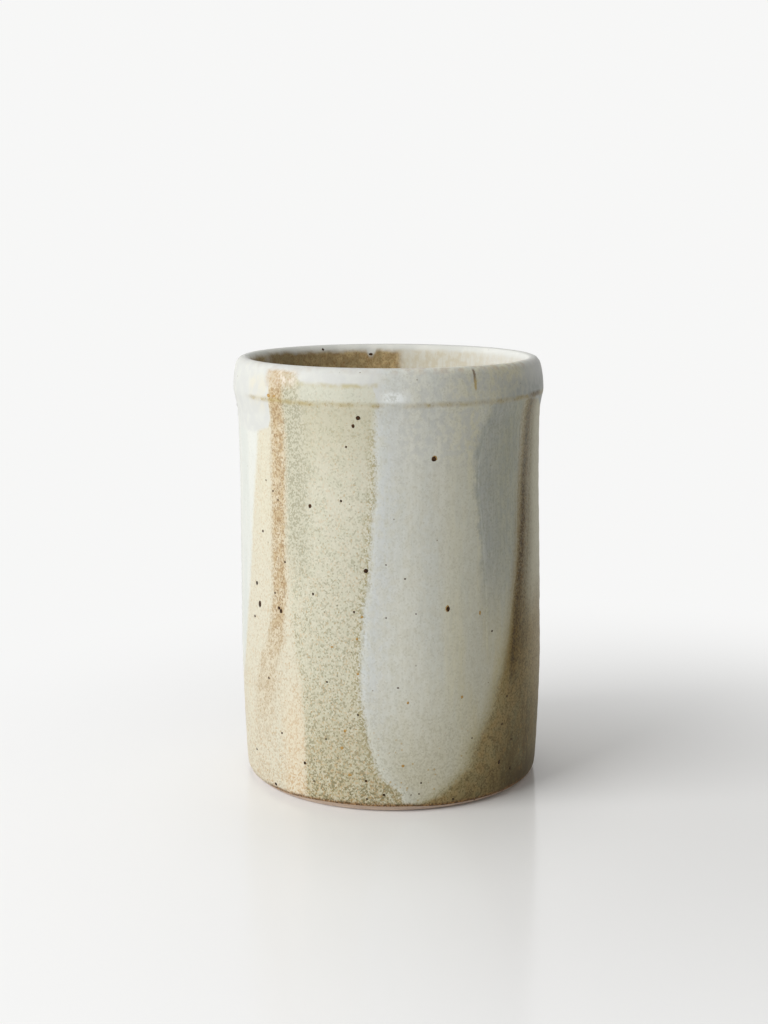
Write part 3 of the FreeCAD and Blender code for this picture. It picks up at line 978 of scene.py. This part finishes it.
behind = start.math("ARCTAN2", wall.x, wall.y) * DEGREES
from_left = behind + edge_noise * 0.5
liner_brown = layered(
    blotch.step(0.36, 0.64).paint(srgb(190, 168, 124), srgb(162, 140, 100)),
    (clump.step(0.46, 0.62) * 0.4, srgb(148, 134, 98)),
    # painted shade: towards the left of the far wall, turned away from the window, the brown is darkened
    (behind.step(-20, -62) * 0.6, srgb(148, 134, 99)),
    (shade.below(0.3) * 0.4, srgb(118, 94, 60)),
    (tint.below(0.08) * 0.5, srgb(150, 102, 60)),
)
liner_cream = layered(
    blotch.step(0.38, 0.64).paint(srgb(213, 211, 199), srgb(206, 199, 178)),
    (streaks.step(0.45, 0.7) * 0.4, srgb(200, 190, 164)),
)
pale_gap = (behind + edge_noise * 1.7 + 66.0).size().step(5.5, 0.0) * z.step(128, 166)
notch = (behind + 7.5).size().step(2.6, 0.6)
band_edge = 175.3 + 0.9 * behind.step(-25, -60) - 2.2 * notch + (clump - 0.5) * 3.0
band_tint = veil.step(0.4, 0.66).paint(srgb(208, 209, 203), srgb(218, 218, 211))
# painted light: the upper right of the far wall, where the window light falls in, is painted near white
painted_light_inside = from_left.band(26, 62, 120, 140) * z.step(120, 150)
liner = layered(
    liner_cream,
    (from_left.band(-128.0, -118.0, 3.4, 8.4), liner_brown),
    (pale_gap * 0.28, srgb(236, 237, 233)),
    # the liner turns darker towards the bottom
    (z.step(160, 40) * 0.5, srgb(150, 136, 104)),
    ((z - band_edge + wander * 0.2).step(-1.5, 1.2), band_tint),
    (painted_light_inside * 0.45, srgb(240, 241, 238)),
)
inward = (wall.radius - LIP_MIDDLE).step(0.4, -0.4) * z.step(3, 7)
glaze = inward.paint(glaze, liner)
so_far("inside")

# %% [markdown]
# ## Small specks, foot, sheen and grain
# Iron in the clay comes up through every coat as pin-head specks. At the foot the glaze ends in a thin
# brown line; at the front a sponge has wiped it a little higher and bared the clay. On the shaded right the
# glaze just above the foot is darkened with painted shade. The glaze is satin, a little smoother on the
# front pour, where it is thick, with a slight orange-peel surface.

# %% Finish of the glaze, with painted shade at the right foot
pinheads = wall.specks(4.2, 0.3, 0.35, seed=41)
sponged = azimuth.band(-46, -22, 4, 22)
above_foot = z - 0.8 * sponged
foot_line = (above_foot + edge_noise * 0.3).step(3.7, 2.2) * (1.0 - inward)
foot_line = foot_line * (1.0 - 0.7 * azimuth.band(-110, -90, -60, -50))
burnt = (shade.below(0.55) * 0.9).paint(srgb(152, 114, 70), srgb(68, 44, 24))
# painted shade: on the shaded right the glaze just above the foot is darkened towards dark brown
painted_foot_shade = azimuth.band(36, 58, 90, 120) * z.step(17, 3) * (1.0 - inward)
glaze = layered(
    glaze,
    (pinheads * 0.6, srgb(104, 84, 54)),
    (painted_foot_shade * 0.55, srgb(66, 52, 30)),
    (foot_line * 0.9, burnt),
    (above_foot.step(1.95, 1.65), srgb(184, 164, 146)),
)
roughness = 0.5 - 0.06 * front + (fine - 0.5) * 0.14
surface = cloud * 0.5 + clump * 0.2 + fine * 0.18
relief = {"Height": surface, "Strength": 0.35, "Distance": 0.2 * MM}
glaze.into(shader.inputs["Base Color"])
roughness.into(shader.inputs["Roughness"])
start.node("ShaderNodeBump", sockets=relief, out="Normal").into(shader.inputs["Normal"])
shader.inputs["Specular IOR Level"].default_value = 0.16
for piece in glazed:
    piece.data.materials.append(glaze_material)
print("glaze:", len(start.tree.nodes), "nodes")

# %% [markdown]
# ## Iron spots
# The large spots are beads of molten iron, some with an amber halo. Each is a low dome, pressed flat from a
# small sphere and set on the wall where the photograph shows it: a ray from the lens through that pixel
# finds the place. On the side away from the lens about as many spots are strewn by chance.

# %% Spots on the photographed side
# Pixels across and down the photograph, and the bead's width and height in mm.
DARK_SPOTS = [
    (358, 418, 1.9, 1.9), (353, 426, 1.3, 1.6), (434, 459, 2.0, 2.1), (310, 506, 1.6, 1.7),
    (366, 571, 1.9, 1.8), (279, 608, 1.6, 1.4), (281, 611, 1.6, 1.9), (260, 604, 2.2, 3.0),
    (448, 609, 1.6, 2.5), (305, 763, 1.4, 1.4), (499, 762, 1.3, 1.9), (341, 501, 1.0, 1.1),
    (346, 447, 0.9, 0.9), (273, 491, 0.9, 1.0), (278, 500, 0.8, 1.0), (263, 531, 1.3, 1.1),
    (266, 480, 0.7, 0.8), (285, 562, 1.0, 1.1), (257, 583, 1.8, 1.8), (275, 593, 0.9, 1.1),
    (313, 594, 1.0, 1.2), (255, 616, 1.6, 1.2), (269, 678, 1.1, 1.0), (327, 682, 1.1, 0.8),
    (354, 612, 0.9, 1.0), (507, 696, 1.0, 1.3), (386, 565, 0.6, 0.6), (405, 579, 0.7, 0.7),
    (386, 618, 0.6, 0.6), (416, 614, 0.6, 0.6), (398, 688, 1.0, 0.6), (358, 715, 0.9, 0.9),
    (421, 783, 0.8, 0.8), (419, 794, 0.8, 0.6), (411, 795, 0.7, 0.5), (366, 781, 1.1, 1.1),
    (384, 795, 1.3, 1.1), (367, 799, 1.0, 0.8), (282, 733, 1.1, 1.0), (257, 749, 1.5, 1.1),
    (276, 784, 1.6, 1.4), (314, 781, 0.9, 0.7), (326, 739, 0.8, 0.8), (510, 768, 1.0, 1.6),
    (502, 724, 0.9, 1.3), (511, 739, 0.9, 1.0), (453, 799, 1.1, 0.9), (492, 631, 0.9, 0.9),
    (472, 738, 0.7, 0.7), (323, 349.5, 1.2, 1.2), (371, 354.2, 1.9, 1.2),
]
AMBER_SPOTS = [
    (434.5, 458.5, 2.3, 2.4), (447.5, 608.5, 1.8, 2.7), (362, 617, 1.0, 1.2), (462, 697, 1.2, 1.3),
    (408, 703, 1.0, 1.2), (403, 766, 1.3, 1.2), (357, 639, 1.0, 1.2), (358, 674, 1.0, 1.1),
    (332, 647, 1.2, 0.9), (345, 731, 1.3, 1.3), (342, 748, 1.4, 1.4), (350, 775, 1.6, 1.2),
    (480, 613, 0.9, 2.0), (268.5, 395.5, 2.2, 1.3), (274, 396, 1.6, 0.9),
]

glazed_surface = bmesh.new()
for piece in glazed:
    glazed_surface.from_mesh(piece.data)
glaze_tree = BVHTree.FromBMesh(glazed_surface)
glazed_surface.free()


def through_pixel(across, down):
    """Where the photograph's pixel lies on the glaze, and the way the wall faces there."""
    ray = Vector(((across - PHOTO_WIDE / 2) / FOCAL_PIXELS, (PHOTO_TALL / 2 - down) / FOCAL_PIXELS, -1.0))
    return glaze_tree.ray_cast(LENS_PLACE, camera.rotation_euler.to_matrix() @ ray.normalized())[:2]


dark_places = [(*through_pixel(*spot[:2]), *spot[2:]) for spot in DARK_SPOTS]
amber_places = [(*through_pixel(*spot[:2]), *spot[2:]) for spot in AMBER_SPOTS]
print(len(dark_places), "dark and", len(amber_places), "amber spots placed")

# %% Spots on the far side
FAR_COUNT = 40
FAR_DIRECTIONS, FAR_HEIGHTS = (84, 276), (10, 158)
FAR_WIDTHS, FAR_TALLNESS = (0.7, 1.8), (0.8, 1.9)
START_OUTSIDE = 0.2  # metres from the axis, well outside the wall


def from_the_side(azimuth, height):
    """Where the glaze lies in a direction from the axis, at a height in mm."""
    outward = Vector((math.sin(azimuth), -math.cos(azimuth), 0))
    return glaze_tree.ray_cast(outward * START_OUTSIDE + Vector((0, 0, height * MM)), -outward)[:2]


strewn = random.Random(11)
for _ in range(FAR_COUNT):
    direction, height = math.radians(strewn.uniform(*FAR_DIRECTIONS)), strewn.uniform(*FAR_HEIGHTS)
    wide, tall = strewn.uniform(*FAR_WIDTHS), strewn.uniform(*FAR_TALLNESS)
    dark_places.append((*from_the_side(direction, height), wide, tall))
print(FAR_COUNT, "spots strewn")

# %% Press the beads onto the wall
BEAD_RISE, HALO_RISE = 0.12, 0.06
UNEVEN = (0.88, 1.08)


def beads(name, places, rise, slot):
    """One piece of low domes, uneven in outline, each seated on the glaze."""
    draw = random.Random(7)
    shape = bmesh.new()
    for place, facing, wide, tall in places:
        made = bmesh.ops.create_icosphere(shape, subdivisions=2, radius=0.5 * MM)["verts"]
        for v in made:
            v.co *= draw.uniform(*UNEVEN)
        turn = facing.to_track_quat("Z", "Y").to_matrix().to_4x4()
        pressed = Matrix.Diagonal((wide, tall, 2 * rise, 1.0))
        bmesh.ops.transform(shape, matrix=Matrix.Translation(place) @ turn @ pressed, verts=made)
    return finished(name, shape, slot)


iron_spots = beads("iron_spots", dark_places, BEAD_RISE, "ash_glaze")
amber_spots = beads("amber_spots", amber_places, HALO_RISE, "ash_glaze")

# %% [markdown]
# Iron glass is nearly black in the middle of a spot and brown where it is thin, and it shines more than the
# glaze. The amber halo is the same iron, bled thin into the pale glaze.

# %% Iron materials


def iron_material(name, thin, thick, rough):
    material, start, shader = new_material(name)
    wall = Wall(start)
    wall.noise(0.5, 2.0).step(0.4, 0.62).paint(thin, thick).into(shader.inputs["Base Color"])
    shader.inputs["Roughness"].default_value = rough
    shader.inputs["Specular IOR Level"].default_value = 0.12
    return material


iron_spots.data.materials.append(iron_material("iron_bead", srgb(70, 46, 24), srgb(34, 22, 12), 0.45))
amber_spots.data.materials.append(iron_material("iron_halo", srgb(182, 152, 96), srgb(158, 120, 62), 0.42))
print("iron materials given")

# %% [markdown]
# ## The two boxes
# The dressed crock must stay as large as the solids say, so both boxes are printed before the end.

# %% Print the boxes and finish
dressed_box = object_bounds()
for box_name, box in (("solids", cad_box), ("dressed crock", dressed_box)):
    print(box_name, [[round(v / MM, 1) for v in corner] for corner in box], "mm")
